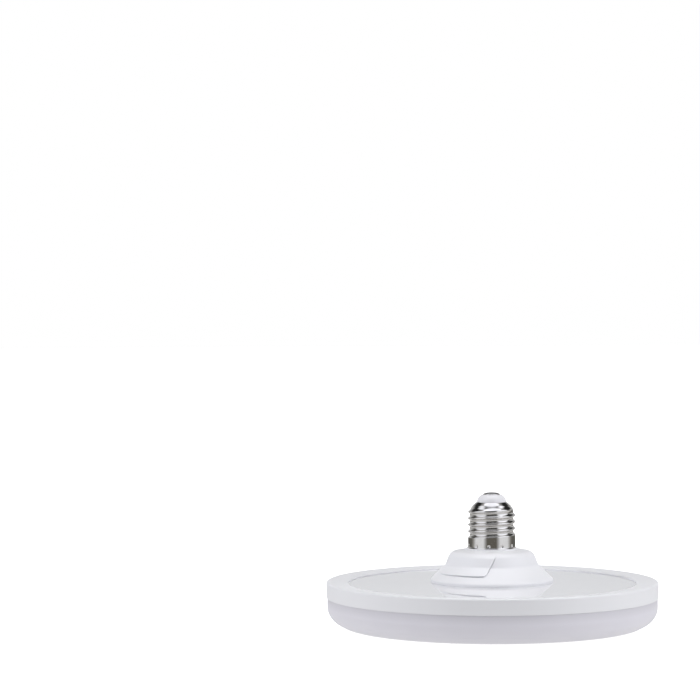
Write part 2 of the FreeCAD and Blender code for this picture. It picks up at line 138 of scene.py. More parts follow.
def azimuthOf(point):
    # degrees from the front, towards the right
    return atan2(point.x, -point.y) * 180 / pi


def halfTurn(degrees):
    # the same direction, from -180 to 180 degrees
    return (degrees + 180) % 360 - 180


def onCircle(k, count, radius):
    # the k-th of some places round the axis, the first of them at the front
    a = 2 * pi * k / count - pi / 2
    return Vector((cos(a), sin(a), 0)) * radius * mm


# small helpers for materials

def hexColour(code):
    # sRGB hex to a linear colour
    channels = [int(code[k:k + 2], 16) / 255 for k in (0, 2, 4)]
    return tuple(c / 12.92 if c <= 0.04045 else ((c + 0.055) / 1.055) ** 2.4 for c in channels) + (1.0,)


def setInputs(tree, node, inputs):
    # an input takes a link from another node's socket, or a fixed value
    for socket, value in inputs.items():
        if isinstance(value, bpy.types.NodeSocket):
            tree.links.new(value, node.inputs[socket])
        else:
            node.inputs[socket].default_value = value


def addNode(tree, kind, inputs=None, **settings):
    node = tree.nodes.new("ShaderNode" + kind)
    for name, value in settings.items():
        setattr(node, name, value)
    setInputs(tree, node, inputs or {})
    return node


def newMaterial(name):
    material = bpy.data.materials.new(name)
    material.use_nodes = True
    tree = material.node_tree
    return material, tree, tree.nodes["Principled BSDF"], addNode(tree, "TexCoord").outputs["Object"]


def wireShader(tree, shader, colour, gloss, bump=None, fixed=None):
    # nodes give the colour, roughness and relief; fixed values go on the shader's own sockets
    setInputs(tree, shader, {"Base Color": colour.outputs[2], "Roughness": gloss.outputs["Result"]})
    setInputs(tree, shader, fixed or {})
    if bump:
        setInputs(tree, shader, {"Normal": bump.outputs["Normal"]})


noiseLow, noiseHigh = 0.3, 0.7      # most of a noise texture lies between these


def mouldedPlastic(name, paleHex, deepHex, roughness, grainMm, bumpMm, ior=1.53):
    # injection-moulded plastic: an even body colour that drifts a little, and the faint grain of an eroded mould;
    # the real grain is about 0.1 mm, and is drawn coarser so that it shows
    driftMm, swing = 22.0, 0.05
    material, tree, shader, place = newMaterial(name)
    drift = addNode(tree, "TexNoise", {"Vector": place, "Scale": 1 / (driftMm * mm), "Detail": 2.0})
    grain = addNode(tree, "TexNoise", {"Vector": place, "Scale": 1 / (grainMm * mm), "Detail": 3.0})
    colour = addNode(tree, "Mix", {0: drift.outputs["Fac"], 6: hexColour(paleHex), 7: hexColour(deepHex)},
                     data_type="RGBA")
    gloss = addNode(tree, "MapRange", {"Value": grain.outputs["Fac"], "From Min": noiseLow, "From Max": noiseHigh,
                                       "To Min": roughness - swing, "To Max": roughness + swing})
    bump = addNode(tree, "Bump", {"Strength": 0.5, "Distance": bumpMm * mm, "Height": grain.outputs["Fac"]})
    wireShader(tree, shader, colour, gloss, bump, {"IOR": ior})
    return material


def powderCoat():
    # gloss powder coat on aluminium sheet: bright, nearly mirror-like at a low angle, with a slight orange peel
    peelMm, peelDepthMm, filmMm = 1.6, 0.0006, 30.0
    material, tree, shader, place = newMaterial("glossPowderCoat")
    peel = addNode(tree, "TexNoise", {"Vector": place, "Scale": 1 / (peelMm * mm), "Detail": 1.0})
    film = addNode(tree, "TexNoise", {"Vector": place, "Scale": 1 / (filmMm * mm), "Detail": 2.0})
    colour = addNode(tree, "Mix", {0: film.outputs["Fac"], 6: hexColour("e8e8ec"), 7: hexColour("e4e4e9")},
                     data_type="RGBA")
    gloss = addNode(tree, "MapRange", {"Value": film.outputs["Fac"], "From Min": noiseLow, "From Max": noiseHigh,
                                       "To Min": 0.015, "To Max": 0.03})
    bump = addNode(tree, "Bump", {"Strength": 0.3, "Distance": peelDepthMm * mm, "Height": peel.outputs["Fac"]})
    wireShader(tree, shader, colour, gloss, bump, {"IOR": 1.5, "Coat Weight": 1.0, "Coat Roughness": 0.02})
    return material


def platedSheet(name, paleHex, deepHex, smooth, dull):
    # plated brass: a warm grey mirror with fine drawing lines round the cap and a few dull patches;
    # the real lines are about 0.05 mm apart, and are drawn coarser so that they show
    lineMm, lineLengthMm, lineDepthMm, patchMm = 0.25, 9.0, 0.01, 3.5
    material, tree, shader, place = newMaterial(name)
    along = 1 / (lineLengthMm * mm)
    drawn = addNode(tree, "Mapping", {"Vector": place, "Scale": (along, along, 1 / (lineMm * mm))})
    lines = addNode(tree, "TexNoise", {"Vector": drawn.outputs["Vector"], "Scale": 1.0, "Detail": 3.0})
    patches = addNode(tree, "TexNoise", {"Vector": place, "Scale": 1 / (patchMm * mm), "Detail": 3.0})
    colour = addNode(tree, "Mix", {0: patches.outputs["Fac"], 6: hexColour(paleHex), 7: hexColour(deepHex)},
                     data_type="RGBA")
    gloss = addNode(tree, "MapRange", {"Value": patches.outputs["Fac"], "From Min": 0.35, "From Max": noiseHigh,
                                       "To Min": smooth, "To Max": dull})
    bump = addNode(tree, "Bump", {"Strength": 0.15, "Distance": lineDepthMm * mm, "Height": lines.outputs["Fac"]})
    wireShader(tree, shader, colour, gloss, bump, {"Metallic": 1.0})
    return material


def opalSheet():
    # opal polystyrene: milky and satin, painted greyer along the thick band at the seam: painted shade, standing
    # in for the shade under the rim's overhang;
    # its mould grain of about 0.1 mm is drawn coarser so that it shows
    milkMm, grainMm, grainDepthMm, seamShadeLow, seamShadeHigh = 18.0, 0.9, 0.01, 11.5, 16.4
    material, tree, shader, place = newMaterial("opalPolystyrene")
    height = addNode(tree, "SeparateXYZ", {0: place}).outputs["Z"]
    milk = addNode(tree, "TexNoise", {"Vector": place, "Scale": 1 / (milkMm * mm), "Detail": 2.0})
    grain = addNode(tree, "TexNoise", {"Vector": place, "Scale": 1 / (grainMm * mm), "Detail": 3.0})
    body = addNode(tree, "Mix", {0: milk.outputs["Fac"], 6: hexColour("e5e3ea"), 7: hexColour("e1dfe7")},
                   data_type="RGBA")
    # painted shade: the wall greys from 11.5 mm up to the seam at 16.4 mm, as if shaded by the rim above it
    band = addNode(tree, "MapRange", {"Value": height, "From Min": seamShadeLow * mm, "From Max": seamShadeHigh * mm})
    colour = addNode(tree, "Mix", {0: band.outputs["Result"], 6: body.outputs[2], 7: hexColour("d6d4db")},
                     data_type="RGBA")
    gloss = addNode(tree, "MapRange", {"Value": grain.outputs["Fac"], "From Min": noiseLow, "From Max": noiseHigh,
                                       "To Min": 0.35, "To Max": 0.45})
    bump = addNode(tree, "Bump", {"Strength": 0.5, "Distance": grainDepthMm * mm, "Height": grain.outputs["Fac"]})
    wireShader(tree, shader, colour, gloss, bump, {"IOR": 1.59})
    return material


# mouldings: colours, roughness, grain and relief in mm, IOR; platings: colours, roughness where bright and dull
opalPolystyrene = opalSheet()
satinAbs = mouldedPlastic("satinAbs", "f1f1f4", "eeeef1", 0.42, 0.8, 0.012)
glossPowderCoat = powderCoat()
brightNickel = platedSheet("brightNickelPlate", "d9d7d3", "ccc9c4", 0.05, 0.1)
tinSolder = platedSheet("tinSolder", "d6d4d0", "c6c3be", 0.24, 0.36)    # melted on by hand, so satin, not bright
whitePbt = mouldedPlastic("whitePbt", "ecebee", "e8e7eb", 0.36, 0.7, 0.008, 1.55)
print("materials made")


# finishes for the CAD nodes inside the lamp, which keep their own shapes

innerSize = {
    "boardTop": 30.45, "footHeight": 0.2, "splitNear": 0.01, "windowFloor": 20.55, "windowNear": 0.02,
    "wireTurn": 0.4, "canTop": 0.35,
}


def heightSplit(tree, place, level, above, below):
    # one colour above a level in millimetres and another below it
    height = addNode(tree, "SeparateXYZ", {0: place}).outputs["Z"]
    step = addNode(tree, "MapRange", {"Value": height, "From Min": (level - innerSize["splitNear"]) * mm,
                                      "From Max": (level + innerSize["splitNear"]) * mm})
    return addNode(tree, "Mix", {0: step.outputs["Result"], 6: hexColour(below), 7: hexColour(above)},
                   data_type="RGBA")


def ledPackage():
    # white moulded housings with a yellow phosphor fill in the window that looks down; its grains are far finer in
    # fact, and are drawn coarser so that they show
    grainMm = 0.3
    material, tree, shader, place = newMaterial("phosphorInPpa")
    height = addNode(tree, "SeparateXYZ", {0: place}).outputs["Z"]
    window = addNode(tree, "Math", {0: height, 1: innerSize["windowFloor"] * mm, 2: innerSize["windowNear"] * mm},
                     operation="COMPARE")
    grains = addNode(tree, "TexNoise", {"Vector": place, "Scale": 1 / (grainMm * mm), "Detail": 2.0})
    phosphor = addNode(tree, "Mix", {0: grains.outputs["Fac"], 6: hexColour("e8c24a"), 7: hexColour("d9ae35")},
                       data_type="RGBA")
    colour = addNode(tree, "Mix", {0: window.outputs[0], 6: hexColour("efeee8"), 7: phosphor.outputs[2]},
                     data_type="RGBA")
    gloss = addNode(tree, "MapRange", {"Value": grains.outputs["Fac"], "To Min": 0.3, "To Max": 0.5})
    wireShader(tree, shader, colour, gloss)
    return material


def solderMask(name, paleHex, deepHex, trackMm):
    # a printed lacquer over copper tracks, which show as slightly raised, paler runs
    filmMm, raisedMm = 6.0, 0.03
    material, tree, shader, place = newMaterial(name)
    tracks = addNode(tree, "TexBrick", {"Vector": place, "Scale": 1 / (trackMm * mm), "Mortar Size": 0.06,
                                        "Color1": (1, 1, 1, 1), "Color2": (0.85, 0.85, 0.85, 1),
                                        "Mortar": (0, 0, 0, 1)})
    film = addNode(tree, "TexNoise", {"Vector": place, "Scale": 1 / (filmMm * mm), "Detail": 2.0})
    colour = addNode(tree, "Mix", {0: tracks.outputs["Color"], 6: hexColour(deepHex), 7: hexColour(paleHex)},
                     data_type="RGBA")
    gloss = addNode(tree, "MapRange", {"Value": film.outputs["Fac"], "To Min": 0.25, "To Max": 0.4})
    bump = addNode(tree, "Bump", {"Strength": 0.4, "Distance": raisedMm * mm, "Height": tracks.outputs["Color"]})
    wireShader(tree, shader, colour, gloss, bump)
    return material


def enamelledCopper():
    # wire turns laid side by side, seen as fine rings under a clear enamel
    ringDepthMm = 0.15
    material, tree, shader, place = newMaterial("enamelledCopper")
    # a wave texture of scale 1 repeats every pi / 10
    turns = addNode(tree, "TexWave", {"Vector": place, "Scale": pi / (10 * innerSize["wireTurn"] * mm),
                                      "Distortion": 0.3}, wave_type="BANDS", bands_direction="Z")
    colour = addNode(tree, "Mix", {0: turns.outputs["Fac"], 6: hexColour("7a3d1c"), 7: hexColour("c9783f")},
                     data_type="RGBA")
    gloss = addNode(tree, "MapRange", {"Value": turns.outputs["Fac"], "To Min": 0.45, "To Max": 0.25})
    bump = addNode(tree, "Bump", {"Strength": 0.8, "Distance": ringDepthMm * mm, "Height": turns.outputs["Fac"]})
    wireShader(tree, shader, colour, gloss, bump, {"Metallic": 0.8})
    return material


def shrunkSleeve(node):
    # a dark film shrunk over an aluminium can, whose bare top shows
    filmMm = 2.5
    material, tree, shader, place = newMaterial("shrunkSleeve_" + node)
    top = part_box(node)[1][2] / mm
    film = addNode(tree, "TexNoise", {"Vector": place, "Scale": 1 / (filmMm * mm), "Detail": 2.0})
    colour = heightSplit(tree, place, top - innerSize["canTop"], "c9cacc", "16181f")
    gloss = addNode(tree, "MapRange", {"Value": film.outputs["Fac"], "To Min": 0.2, "To Max": 0.38})
    wireShader(tree, shader, colour, gloss)
    return material


def mouldedEpoxy():
    # matt black packages on tinned feet; their grit is finer in fact, and is drawn coarser so that it shows
    gritMm, gritDepthMm = 0.25, 0.02
    material, tree, shader, place = newMaterial("mouldedEpoxy")
    grit = addNode(tree, "TexNoise", {"Vector": place, "Scale": 1 / (gritMm * mm), "Detail": 2.0})
    colour = heightSplit(tree, place, innerSize["boardTop"] + innerSize["footHeight"], "1b1b1c", "b9babd")
    gloss = addNode(tree, "MapRange", {"Value": grit.outputs["Fac"], "To Min": 0.45, "To Max": 0.65})
    bump = addNode(tree, "Bump", {"Strength": 0.4, "Distance": gritDepthMm * mm, "Height": grit.outputs["Fac"]})
    wireShader(tree, shader, colour, gloss, bump)
    return material


def zincPlate():
    # bright zinc on cold-headed steel: a bluish grey with a faint crystalline mottle
    mottleMm = 0.8
    material, tree, shader, place = newMaterial("zincPlatedSteel")
    mottle = addNode(tree, "TexVoronoi", {"Vector": place, "Scale": 1 / (mottleMm * mm)})
    colour = addNode(tree, "Mix", {0: mottle.outputs["Distance"], 6: hexColour("c4c7cc"), 7: hexColour("adb1b8")},
                     data_type="RGBA")
    gloss = addNode(tree, "MapRange", {"Value": mottle.outputs["Distance"], "To Min": 0.25, "To Max": 0.42})
    wireShader(tree, shader, colour, gloss, fixed={"Metallic": 1.0})
    return material


epoxyBlack = mouldedEpoxy()
innerFinishes = {
    "thermal_pad": mouldedPlastic("siliconePad", "8f949b", "858a92", 0.7, 0.6, 0.03, 1.41),
    "led_board": solderMask("whiteSolderMask", "f0f0ea", "e3e3da", trackMm=9.0),
    "led_packages": ledPackage(),
    "neck_screws": zincPlate(),
    "driver_tray": whitePbt,
    "driver_board": solderMask("greenSolderMask", "2f7d46", "1d5a31", trackMm=3.2),
    "choke_core": mouldedPlastic("sinteredFerrite", "37373a", "2a2a2d", 0.75, 0.4, 0.02, 1.6),
    "choke_winding": enamelledCopper(),
    "input_capacitor": shrunkSleeve("input_capacitor"),
    "output_capacitor": shrunkSleeve("output_capacitor"),
    "bridge_rectifier": epoxyBlack,
    "driver_chip": epoxyBlack,
    "output_diode": epoxyBlack,
    "fuse_resistor": mouldedPlastic("flameproofCoat", "6fa089", "5f927b", 0.55, 0.5, 0.02),
}
wireColours = {
    "live_wire": ("5c3a24", "4d2f1c"), "neutral_wire": ("2a4d9c", "234286"),
    "led_lead_positive": ("b3242a", "9d1c22"), "led_lead_negative": ("202022", "171719"),
}
for node, (pale, deep) in wireColours.items():
    innerFinishes[node] = mouldedPlastic("pvcInsulation_" + node, pale, deep, 0.42, 0.5, 0.01, 1.54)
for node, material in innerFinishes.items():
    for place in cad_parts[node].material_slots:
        place.material = material
print("inner nodes dressed")


# diffuser: an opal cup whose face is pressed into small four-sided pyramids

diffuserSize = {
    "radius": 91.7, "cornerRun": 14.0, "cornerRise": 11.0, "seam": 16.4, "seamRound": 0.35, "wall": 1.6,
    "spigotOut": 90.2, "spigotIn": 88.6, "spigotTop": 21.0, "spigotRound": 0.3, "rootLow": 14.0, "taperLow": 12.5,
    "steps": 192, "cornerSteps": 14,
    "patternRadius": 82.0, "patternDepth": 0.8, "cellAcross": 5.13, "cellUp": 4.25, "patternTurn": 7.0,
    "recessGap": 0.1, "recessLand": 0.3, "recessSteps": 4,      # the hollow behind the pressed sheet
    "sheetThickness": 0.25, "sheetLap": 0.2, "sheetSides": 64, "sheetSpare": 6.0, "spareCells": 16,
    "snaps": 6, "firstSnap": 30.0, "snapSpread": 10.0, "snapLow": 18.3, "snapHeight": 1.4, "snapDepth": 0.7,
}


def cornerRise(radius, s):
    # how far the rounded corner has risen from the face at a radius
    beyond = min(max(radius - s["radius"] + s["cornerRun"], 0.0) / s["cornerRun"], 1.0)
    return s["cornerRise"] * (1 - sqrt(1 - beyond ** 2))


def diffuserCup(s):
    flat, run, rise, wall = s["radius"] - s["cornerRun"], s["cornerRun"], s["cornerRise"], s["wall"]
    angles = [pi / 2 * k / s["cornerSteps"] for k in range(s["cornerSteps"] + 1)]
    outside = [(flat + run * sin(a), rise - rise * cos(a)) for a in angles]
    inside = [(flat + (run - wall) * sin(a), rise - (rise - wall) * cos(a)) for a in angles]
    # the face is hollowed for the pressed sheet, up to where the corner has begun to rise
    recess, hollow = s["patternRadius"], s["patternDepth"] + s["recessGap"]
    edge = next(k for k, p in enumerate(outside) if p[0] > recess + s["recessLand"])
    bend = [flat + (recess - flat) * k / s["recessSteps"] for k in range(s["recessSteps"] + 1)]
    corners = [(0, hollow)] + [(r, hollow + cornerRise(r, s)) for r in bend]
    corners += [(recess, cornerRise(recess, s))] + outside[edge:]
    corners += [(s["radius"], s["seam"]), (s["spigotOut"], s["seam"]), (s["spigotOut"], s["spigotTop"]),
                (s["spigotIn"], s["spigotTop"]), (s["spigotIn"], s["rootLow"]),
                (s["radius"] - wall, s["taperLow"])]
    corners += inside[::-1] + [(0, wall)]
    bm = turnProfile(corners, s["steps"], closed=False)
    roundRing(bm, s["radius"], s["seam"], s["seamRound"], segments=3)
    roundRing(bm, s["spigotOut"], s["spigotTop"], s["spigotRound"], segments=2)
    # bumps on the spigot snap into the rim's groove
    rootIn, tip = s["spigotOut"] - s["snapDepth"], s["spigotOut"] + s["snapDepth"]
    low, high = s["snapLow"], s["snapLow"] + s["snapHeight"]
    bump = [(rootIn, low), (tip, low), (tip, low + s["snapHeight"] / 3), (s["spigotOut"], high), (rootIn, high)]
    for k in range(s["snaps"]):
        joinInto(bm, sectorBlock(bump, s["snapSpread"], s["firstSnap"] + 360 * k / s["snaps"]))
    return bm


def pyramidSheet(s):
    # a square grid sheared to the diamond lattice, each cell poked outwards, bent to the corner, cut to the recess
    bm = bmesh.new()
    half = s["patternRadius"] + s["sheetSpare"]
    count = 2 * int(half / min(s["cellAcross"], s["cellUp"])) + s["spareCells"]
    bmesh.ops.create_grid(bm, x_segments=count, y_segments=count, size=count / 2)
    across, up = s["cellAcross"] / 2 * mm, s["cellUp"] / 2 * mm
    shear = Matrix(((across, across, 0, 0), (up, -up, 0, 0), (0, 0, 1, 0), (0, 0, 0, 1)))
    turn = Matrix.Rotation(radians(s["patternTurn"]), 4, "Z")
    lift = Matrix.Translation((0, 0, s["patternDepth"] * mm))
    bmesh.ops.transform(bm, matrix=lift @ turn @ shear, verts=bm.verts)
    spare = [f for f in bm.faces if f.calc_center_median().xy.length > half * mm]
    bmesh.ops.delete(bm, geom=spare, context="FACES")
    bmesh.ops.recalc_face_normals(bm, faces=bm.faces)
    if sum(f.normal.z for f in bm.faces) > 0:
        bmesh.ops.reverse_faces(bm, faces=bm.faces)
    bmesh.ops.poke(bm, faces=bm.faces, offset=s["patternDepth"] * mm, center_mode="MEAN")
    for v in bm.verts:
        v.co.z += cornerRise(v.co.xy.length / mm, s) * mm
    for k in range(s["sheetSides"]):
        a = 2 * pi * k / s["sheetSides"]
        away = Vector((cos(a), sin(a), 0))
        slicePlane(bm, away * (s["patternRadius"] + s["sheetLap"]) * mm, away, clear=True)
    bmesh.ops.solidify(bm, geom=bm.faces[:], thickness=s["sheetThickness"] * mm)
    return bm


cup = diffuserCup(diffuserSize)
joinInto(cup, pyramidSheet(diffuserSize))
finishPiece("opalDiffuser", cup, opalPolystyrene, "diffuser", sharp=20)


# rim ring: a moulded hoop whose sloping top laps over the plate

rimSize = {
    "radius": 92.2, "bore": 90.4, "seam": 16.4, "seamRound": 0.3, "top": 25.4, "edge": 1.3,
    "opening": 80.0, "openingTop": 24.4, "openingRound": 0.22, "lip": 23.8, "pocket": 82.6,
    "rib": 84.2, "ribLow": 21.0, "underside": 22.4, "groove": 91.1, "grooveLow": 18.1, "grooveHigh": 19.9,
    "hooks": 6, "hookSpread": 8.0, "hookTop": 22.6, "hookReach": 1.0, "hookNose": 0.5, "steps": 192,
}


def rimHoop(s):
    bm = turnProfile([
        (s["bore"], s["seam"]), (s["radius"], s["seam"]), (s["radius"], s["top"]), (s["opening"], s["openingTop"]),
        (s["opening"], s["lip"]), (s["pocket"], s["lip"]), (s["pocket"], s["ribLow"]), (s["rib"], s["ribLow"]),
        (s["rib"], s["underside"]), (s["bore"], s["underside"]), (s["bore"], s["grooveHigh"]),
        (s["groove"], s["grooveHigh"]), (s["groove"], s["grooveLow"]), (s["bore"], s["grooveLow"]),
    ], s["steps"])
    roundRing(bm, s["radius"], s["top"], s["edge"], segments=6)
    roundRing(bm, s["radius"], s["seam"], s["seamRound"], segments=3)
    roundRing(bm, s["opening"], s["openingTop"], s["openingRound"], segments=3)
    # hooks under the plate's edge
    root, tip = (s["pocket"] + s["rib"]) / 2, s["pocket"] - s["hookReach"]
    hook = [(root, s["ribLow"]), (root, s["hookTop"]), (tip, s["hookTop"]), (tip, s["hookTop"] - s["hookNose"]),
            (s["pocket"], s["ribLow"])]
    for k in range(s["hooks"]):
        joinInto(bm, sectorBlock(hook, s["hookSpread"], 360 * k / s["hooks"]))
    return bm


finishPiece("rimRing", rimHoop(rimSize), satinAbs, "rim_ring")


# back plate: a coated disc under the rim's lip

plateSize = {
    "radius": 82.4, "low": 22.6, "top": 23.8, "opening": 80.0, "seat": 24.85, "seatRadius": 34.0, "hole": 5.2,
    "edgeRound": 0.15, "steps": 192, "screws": 3, "screwCircle": 25.0, "screwHole": 1.75, "holeSides": 24,
    "level": 0.99, "near": 0.001,       # what counts as a flat face, and as on a height
}


def backDisc(s):
    # a shallow cone on top, from the rim's lip up to the neck's seat
    bm = turnProfile([(s["hole"], s["low"]), (s["seatRadius"], s["low"]), (s["radius"], s["low"]),
                      (s["radius"], s["top"]), (s["opening"], s["top"]), (s["seatRadius"], s["seat"]),
                      (s["hole"], s["seat"])], s["steps"])
    for height in (s["low"], s["top"]):
        roundRing(bm, s["radius"], height, s["edgeRound"], segments=2)
    # the flat round the middle is taken out and filled again round the screw holes
    inner = [f for f in bm.faces if f.calc_center_median().xy.length < s["seatRadius"] * mm]
    bmesh.ops.delete(bm, geom=[f for f in inner if abs(f.normal.z) > s["level"]], context="FACES_ONLY")
    middle = Vector((0, 0, (s["seat"] + s["low"]) / 2 * mm))
    for k in range(s["screws"]):
        wall = bmesh.ops.create_cone(bm, cap_ends=False, segments=s["holeSides"], radius1=s["screwHole"] * mm,
                                     radius2=s["screwHole"] * mm, depth=(s["seat"] - s["low"]) * mm)
        bmesh.ops.translate(bm, vec=onCircle(k, s["screws"], s["screwCircle"]) + middle, verts=wall["verts"])
    for height in (s["low"], s["seat"]):
        rims = [e for e in bm.edges if e.is_boundary
                and all(abs(v.co.z / mm - height) < s["near"] for v in e.verts)]
        bmesh.ops.triangle_fill(bm, edges=rims, use_beauty=True)
    bmesh.ops.recalc_face_normals(bm, faces=bm.faces)
    return bm


finishPiece("backPlate", backDisc(plateSize), glossPowderCoat, "back_plate")


# neck housing: a flared neck with two leaf-like petals and a spigot for the cap

neckSize = {
    "flange": 34.1, "foot": 24.85, "flangeTop": 26.25, "footRound": 0.1, "flangeRound": 0.5,
    "waist": 25.8, "waistHeight": 34.5, "waistRound": 0.7, "shoulder": 23.1, "shoulderHeight": 41.55,
    "shoulderRound": 2.6, "crown": 15.2, "top": 42.8, "collar": 14.45, "collarTop": 43.5, "collarRound": 0.35,
    "spigot": 12.6, "spigotStep": 48.3, "spigotThin": 11.5, "spigotTop": 54.9,
    "bore": 9.9, "roof": 40.6, "seat": 31.7, "wall": 2.0, "wallDrop": 1.0, "steps": 240,
    "bosses": 3, "bossCircle": 25.0, "boss": 3.4, "bossTop": 31.75, "pilot": 1.55, "pilotTop": 31.25,
    "bossSides": 32,
    "ribTip": 16.45, "ribLow": 30.45, "ribFoot": 27.2, "ribWidth": 1.8, "firstRib": 60.0,
    "ribSkin": 1.2, "ribLap": 0.5,      # the ribs run into the wall and the roof
}
petalSize = {
    # the leaf's outline, and what it leaves out of the neck's surface
    "count": 2, "lip": 30.2, "sweep": 86.0, "lean": 28.0, "edgeX": -3.2, "corner": 3.0, "cornerCuts": 8,
    "topCut": 0.3, "rearLimit": 8.0, "skipFlange": 0.5, "skipCollar": 0.1, "facing": 0.2,
    # how far it stands off the neck
    "lift": 0.95, "liftMost": 1.1, "waistLoss": 0.3, "sink": 0.08, "fadeLow": 37.9, "fadeHigh": 42.3,
    "thickness": 0.7,
    # the slot under its lip, which fades in and out over some degrees
    "slotHeight": 0.45, "slotLap": 0.3, "slotDepth": 0.8, "slotInside": 27.5,
    "slotStart": (-80, -55), "slotEnd": (-12, -8),
    # the gap beside its slanted edge, and where on the neck it is cut
    "gapWidth": 0.2, "gapBack": 0.5, "gapDepth": 0.34, "gapFoot": 0.45, "gapTop": 0.6, "gapRise": 1.2,
    "gapFade": 2.2, "gapMargin": 0.6, "gapFront": 15.0, "gapInside": 21.0, "gapWall": 22.9,
    "crease": 0.04, "near": 0.01,       # the width of a sharp edge, and how near to a cut counts as on it
}


def neckBody(s):
    bm = turnProfile([
        (s["seat"], s["foot"]), (s["flange"], s["foot"]), (s["flange"], s["flangeTop"]),
        (s["waist"], s["waistHeight"]), (s["shoulder"], s["shoulderHeight"]), (s["crown"], s["top"]),
        (s["collar"], s["top"]), (s["collar"], s["collarTop"]), (s["spigot"], s["collarTop"]),
        (s["spigot"], s["spigotStep"]), (s["spigotThin"], s["spigotStep"]), (s["spigotThin"], s["spigotTop"]),
        (s["bore"], s["spigotTop"]), (s["bore"], s["roof"]), (s["shoulder"] - s["wall"], s["roof"]),
        (s["waist"] - s["wall"], s["waistHeight"] - s["wallDrop"]),
    ], s["steps"])
    roundRing(bm, s["flange"], s["foot"], s["footRound"], segments=4)
    roundRing(bm, s["flange"], s["flangeTop"], s["flangeRound"], segments=5)
    roundRing(bm, s["waist"], s["waistHeight"], s["waistRound"], segments=8)
    roundRing(bm, s["shoulder"], s["shoulderHeight"], s["shoulderRound"], segments=10)
    roundRing(bm, s["collar"], s["collarTop"], s["collarRound"], segments=4)
    return bm


def addBosses(bm, s):
    # blind screw bosses, and between them ribs that hold the driver board down
    ribTop = s["roof"] + s["ribLap"]
    outline = [(s["ribTip"], s["ribLow"]), (s["ribFoot"], s["ribLow"]),
               (s["waist"] - s["ribSkin"], s["waistHeight"] - s["wallDrop"]),
               (s["shoulder"] - s["ribSkin"], ribTop), (s["ribTip"], ribTop)]
    for k in range(s["bosses"]):
        boss = turnProfile([(0, s["pilotTop"]), (s["pilot"], s["pilotTop"]), (s["pilot"], s["foot"]),
                            (s["boss"], s["foot"]), (s["boss"], s["bossTop"]), (0, s["bossTop"])],
                           s["bossSides"], closed=False)
        bmesh.ops.translate(boss, vec=onCircle(k, s["bosses"], s["bossCircle"]), verts=boss.verts)
        joinInto(bm, boss)
        rib = bmesh.new()
        face = rib.faces.new([rib.verts.new((r * mm, -s["ribWidth"] / 2 * mm, z * mm)) for r, z in outline])
        grown = bmesh.ops.extrude_face_region(rib, geom=[face])["geom"]
        far = [g for g in grown if isinstance(g, bmesh.types.BMVert)]
        bmesh.ops.translate(rib, vec=(0, s["ribWidth"] * mm, 0), verts=far)
        bmesh.ops.recalc_face_normals(rib, faces=rib.faces)
        turnAbout(rib, radians(360 * k / s["bosses"] - 90 + s["firstRib"]))
        joinInto(bm, rib)


def leafEdge(p):
    # a point on the leaf's slanted edge, and the way out from the leaf there
    lean = radians(p["lean"])
    return Vector((p["edgeX"], 0, p["lip"])) * mm, Vector((cos(lean), 0, -sin(lean)))


def liftAt(p, azimuth, height, s):
    # the leaf stands off most at its slanted edge and at its lip, and fades into the shoulder
    along = p["lift"] * min(max(1 + azimuth / p["sweep"], 0), p["liftMost"])
    share = 1.0 - p["waistLoss"] * min((height - p["lip"]) / (s["waistHeight"] - p["lip"]), 1)
    return along * share * (1 - smoothStep(p["fadeLow"], p["fadeHigh"], height)) - p["sink"]


def petalLeaf(body, s, p):
    # the front leaf: the neck's own surface, trimmed to the leaf's outline, lifted, and given a thickness
    leaf = body.copy()

    def outside(f):
        middle = f.calc_center_median()
        outward = Vector((middle.x, middle.y, 0)).normalized() + Vector((0, 0, 1))
        return (middle.z > (s["flangeTop"] + p["skipFlange"]) * mm and f.normal.dot(outward) > p["facing"]
                and middle.xy.length > (s["collar"] + p["skipCollar"]) * mm)

    bmesh.ops.delete(leaf, geom=[f for f in leaf.faces if not outside(f)], context="FACES")
    edgePoint, away = leafEdge(p)
    slicePlane(leaf, (0, 0, p["lip"] * mm), (0, 0, -1), clear=True)
    slicePlane(leaf, (0, 0, (s["top"] - p["topCut"]) * mm), (0, 0, 1), clear=True)
    slicePlane(leaf, edgePoint, away, clear=True)
    # rounded corner between the lip and the slanted edge, as a run of tangent cuts
    lean = radians(p["lean"])
    reach = p["corner"] / tan((pi / 2 + lean) / 2)
    centre = edgePoint + Vector((-reach, 0, p["corner"])) * mm
    for k in range(1, p["cornerCuts"]):
        a = -pi / 2 + (pi / 2 - lean) * k / p["cornerCuts"]
        out = Vector((cos(a), 0, sin(a)))
        slicePlane(leaf, centre + out * p["corner"] * mm, out, clear=True)
    # it ends at the side, and the same cuts on the far side of the neck are dropped
    rear = radians(-p["sweep"])
    slicePlane(leaf, (0, 0, 0), (-cos(rear), -sin(rear), 0), clear=True)
    behind = [f for f in leaf.faces if f.calc_center_median().y > p["rearLimit"] * mm]
    bmesh.ops.delete(leaf, geom=behind, context="FACES")
    leaf.normal_update()
    for v, way in [(v, v.normal.copy()) for v in leaf.verts]:
        v.co += way * liftAt(p, azimuthOf(v.co), v.co.z / mm, s) * mm
    bmesh.ops.solidify(leaf, geom=leaf.faces[:], thickness=p["thickness"] * mm)
    return leaf


def cutSlot(bm, p):
    # the shadow gap under each leaf's lip, pressed into the neck's flare
    low, high = p["lip"] - p["slotHeight"], p["lip"] + p["slotLap"]
    for height in (low - p["crease"], low, high, high + p["crease"]):
        slicePlane(bm, (0, 0, height * mm), (0, 0, 1))
    for v in bm.verts:
        inSlot = low - p["near"] <= v.co.z / mm <= high + p["near"]
        if not inSlot or v.co.xy.length < p["slotInside"] * mm:
            continue
        for k in range(p["count"]):
            azimuth = halfTurn(azimuthOf(v.co) - 360 * k / p["count"])
            depth = p["slotDepth"] * smoothStep(*p["slotStart"], azimuth)
            depth *= 1 - smoothStep(*p["slotEnd"], azimuth)
            setRadius(v, v.co.xy.length - depth * mm)


